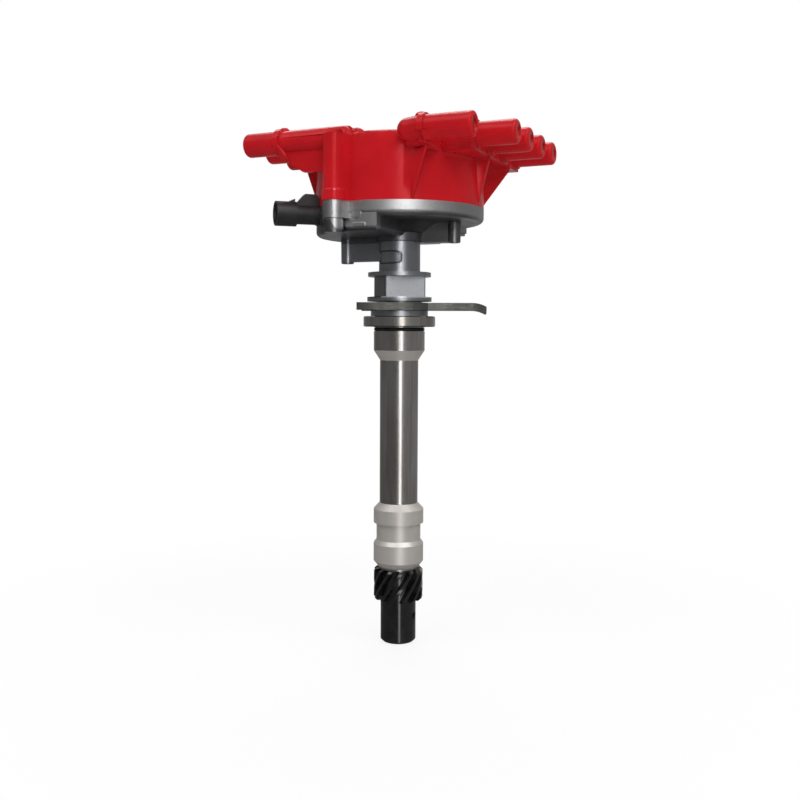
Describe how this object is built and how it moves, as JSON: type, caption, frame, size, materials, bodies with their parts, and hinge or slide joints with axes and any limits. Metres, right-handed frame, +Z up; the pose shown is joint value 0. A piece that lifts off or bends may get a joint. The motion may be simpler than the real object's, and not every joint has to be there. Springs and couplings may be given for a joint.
{
  "type": "ignition distributor",
  "caption": "Engine ignition distributor: crab cap with horizontal towers on a cast base, cam sensor connector, hold-down clamp, long turned shaft housing and a helical drive gear.",
  "frame": {"origin": "centre of the collar's underside, which seats on the engine, on the shaft axis", "axes": "+Z up the shaft axis towards the cap, +X towards the right-hand row of cap towers"},
  "size_m": [0.1671, 0.1222, 0.3149],
  "materials": {
    "red_cap": "glossy red moulding",
    "terminal_brass": "drawn brass",
    "electrode_aluminium": "bright stampings",
    "spring_steel": "bright spring wire",
    "screw_steel": "plated steel",
    "sensor_black": "satin black moulding",
    "pin_tin": "tinned",
    "cast_aluminium": "die-cast, fine grain",
    "billet_aluminium": "turned and polished",
    "seal_rubber": "black rubber",
    "bearing_steel": "ground steel",
    "ring_steel": "phosphated steel",
    "bushing_bronze": "sintered bronze",
    "washer_steel": "bright steel",
    "shaft_steel": "ground steel",
    "shutter_steel": "stamped steel",
    "rotor_black": "moulded thermoset",
    "gear_black": "gloss black oxide",
    "pin_steel": "black spring steel",
    "carbon_black": "pressed carbon",
    "clamp_steel": "plain steel with a fine grain"
  },
  "bodies": {
    "housing": {"cap": "red_cap", "tower_terminals": "terminal_brass", "cap_electrodes": "electrode_aluminium", "coil_lead": "terminal_brass", "button_spring": "spring_steel", "cap_screws": "screw_steel", "cam_sensor": "sensor_black", "sensor_pins": "pin_tin", "sensor_screws": "screw_steel", "base_housing": "cast_aluminium", "shaft_housing": "billet_aluminium", "collar_o_ring": "seal_rubber", "bearing_outer_race": "bearing_steel", "bearing_shields": "bearing_steel", "bearing_retaining_ring": "ring_steel", "lower_bushing": "bushing_bronze", "thrust_washers": "washer_steel"},
    "shaft_assembly": {"distributor_shaft": "shaft_steel", "bearing_inner_race": "bearing_steel", "rotor_hub": "shaft_steel", "shutter_wheel": "shutter_steel", "rotor": "rotor_black", "rotor_contact": "terminal_brass", "rotor_screws": "screw_steel", "drive_gear": "gear_black", "gear_roll_pin": "pin_steel"},
    "ball_set": {"bearing_balls": "bearing_steel", "bearing_cage": "bearing_steel"},
    "button": {"carbon_button": "carbon_black"},
    "clamp": {"hold_down_clamp": "clamp_steel"}
  },
  "joints": [
    {"name": "shaft_spin", "type": "hinge", "parent": "housing", "child": "shaft_assembly", "pos_m": [0, 0, 0], "axis": [0, 0, 1], "continuous": true},
    {"name": "ball_set_roll", "type": "hinge", "parent": "housing", "child": "ball_set", "pos_m": [0, 0, 0.0625], "axis": [0, 0, 1], "continuous": true},
    {"name": "button_travel", "type": "slide", "parent": "housing", "child": "button", "axis": [0, 0, 1], "range_m": [0, 0.0015], "stiffness_N_per_m": 500, "springref_m": -0.001, "deforming": ["button_spring"]},
    {"name": "clamp_swivel", "type": "hinge", "parent": "housing", "child": "clamp", "pos_m": [0, 0, 0.01235], "axis": [0, 0, 1], "continuous": true}
  ],
  "couplings": [
    {"joint": "ball_set_roll", "follows": "shaft_spin", "ratio": 0.4194}
  ]
}
